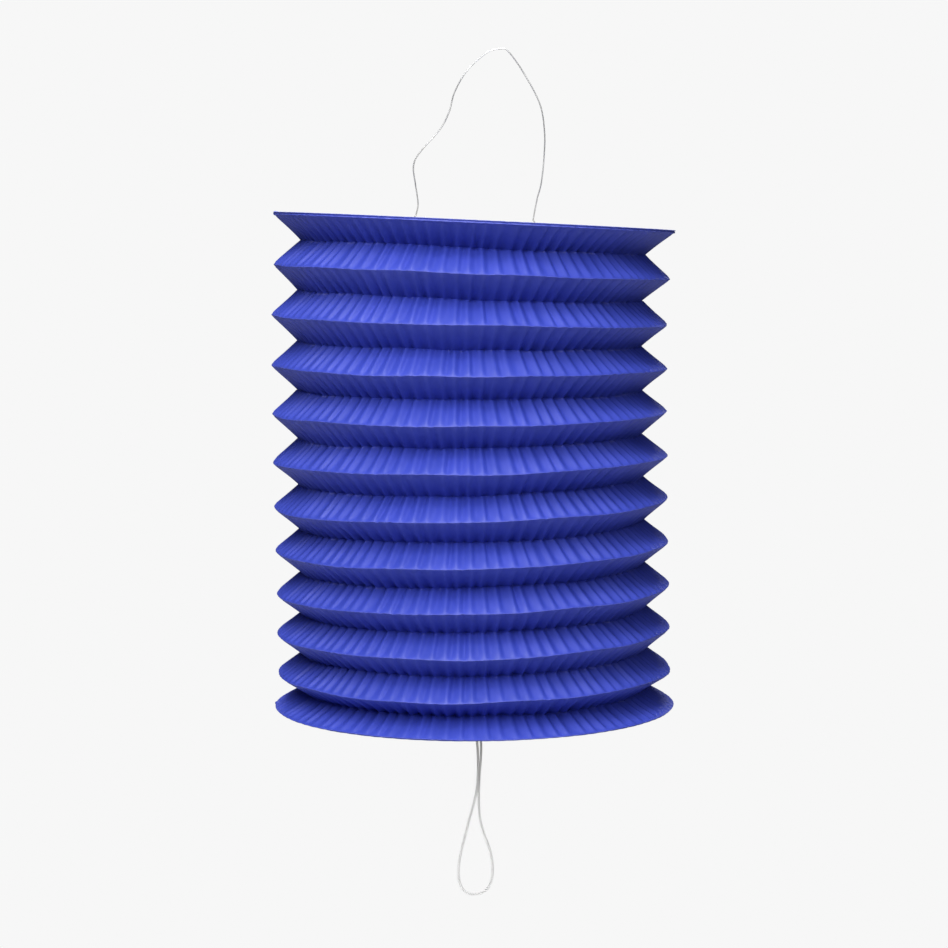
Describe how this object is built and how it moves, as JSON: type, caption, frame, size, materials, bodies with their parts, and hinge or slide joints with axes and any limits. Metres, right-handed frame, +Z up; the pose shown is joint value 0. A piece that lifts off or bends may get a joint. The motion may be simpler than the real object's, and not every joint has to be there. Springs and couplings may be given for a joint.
{
  "type": "accordion paper lantern",
  "caption": "Hanging lantern: an accordion tube of pleated blue paper between round cards, with a bent wire bail, a candle clip inside and a loop of white cord below.",
  "frame": {"origin": "the hanging point, on the underside of the wire bail's topmost bend", "axes": "+Z up along the hanging lantern, +X to the right in the plane of the wire bail, +Y to the back"},
  "size_m": [0.1612, 0.16, 0.3418],
  "materials": {
    "blue_paper": "matte",
    "grey_card": "matte",
    "galvanised_wire": "satin",
    "tin": "satin",
    "white_cotton": "matte"
  },
  "bodies": {
    "hanger": {"hanger_wire": "galvanised_wire"},
    "top": {"top_card": "grey_card", "top_hem": "blue_paper"},
    "base": {"base_card": "grey_card", "base_hem": "blue_paper", "candle_clip": "tin", "clip_rivet_left": "tin", "clip_rivet_right": "tin", "pull_cord": "white_cotton", "cord_knot": "white_cotton"},
    "fold_01": {"pleat_01": "blue_paper"},
    "fold_02": {"pleat_02": "blue_paper"},
    "fold_03": {"pleat_03": "blue_paper"},
    "fold_04": {"pleat_04": "blue_paper"},
    "fold_05": {"pleat_05": "blue_paper"},
    "fold_06": {"pleat_06": "blue_paper"},
    "fold_07": {"pleat_07": "blue_paper"},
    "fold_08": {"pleat_08": "blue_paper"},
    "fold_09": {"pleat_09": "blue_paper"},
    "fold_10": {"pleat_10": "blue_paper"},
    "fold_11": {"pleat_11": "blue_paper"}
  },
  "joints": [
    {"name": "bail_swing", "type": "hinge", "parent": "hanger", "child": "top", "pos_m": [-0.0108, 0, -0.0682], "axis": [0.9989, 0, -0.0461], "range_deg": [-60, 60]},
    {"name": "collapse", "type": "slide", "parent": "top", "child": "base", "axis": [0, 0, 1], "range_m": [0, 0.175]},
    {"name": "fold_01", "type": "slide", "parent": "top", "child": "fold_01", "axis": [0, 0, 1], "range_m": [0, 0.00928], "deforming": ["pleat_01"]},
    {"name": "fold_02", "type": "slide", "parent": "top", "child": "fold_02", "axis": [0, 0, 1], "range_m": [0, 0.02669], "deforming": ["pleat_02"]},
    {"name": "fold_03", "type": "slide", "parent": "top", "child": "fold_03", "axis": [0, 0, 1], "range_m": [0, 0.0438], "deforming": ["pleat_03"]},
    {"name": "fold_04", "type": "slide", "parent": "top", "child": "fold_04", "axis": [0, 0, 1], "range_m": [0, 0.06063], "deforming": ["pleat_04"]},
    {"name": "fold_05", "type": "slide", "parent": "top", "child": "fold_05", "axis": [0, 0, 1], "range_m": [0, 0.07716], "deforming": ["pleat_05"]},
    {"name": "fold_06", "type": "slide", "parent": "top", "child": "fold_06", "axis": [0, 0, 1], "range_m": [0, 0.0934], "deforming": ["pleat_06"]},
    {"name": "fold_07", "type": "slide", "parent": "top", "child": "fold_07", "axis": [0, 0, 1], "range_m": [0, 0.10936], "deforming": ["pleat_07"]},
    {"name": "fold_08", "type": "slide", "parent": "top", "child": "fold_08", "axis": [0, 0, 1], "range_m": [0, 0.12501], "deforming": ["pleat_08"]},
    {"name": "fold_09", "type": "slide", "parent": "top", "child": "fold_09", "axis": [0, 0, 1], "range_m": [0, 0.14038], "deforming": ["pleat_09"]},
    {"name": "fold_10", "type": "slide", "parent": "top", "child": "fold_10", "axis": [0, 0, 1], "range_m": [0, 0.15546], "deforming": ["pleat_10"]},
    {"name": "fold_11", "type": "slide", "parent": "top", "child": "fold_11", "axis": [0, 0, 1], "range_m": [0, 0.16921], "deforming": ["pleat_11"]}
  ],
  "couplings": [
    {"joint": "fold_01", "follows": "collapse", "ratio": 0.05016},
    {"joint": "fold_02", "follows": "collapse", "ratio": 0.14963},
    {"joint": "fold_03", "follows": "collapse", "ratio": 0.24744},
    {"joint": "fold_04", "follows": "collapse", "ratio": 0.34359},
    {"joint": "fold_05", "follows": "collapse", "ratio": 0.43807},
    {"joint": "fold_06", "follows": "collapse", "ratio": 0.53088},
    {"joint": "fold_07", "follows": "collapse", "ratio": 0.62203},
    {"joint": "fold_08", "follows": "collapse", "ratio": 0.71151},
    {"joint": "fold_09", "follows": "collapse", "ratio": 0.79932},
    {"joint": "fold_10", "follows": "collapse", "ratio": 0.88547},
    {"joint": "fold_11", "follows": "collapse", "ratio": 0.96406}
  ]
}
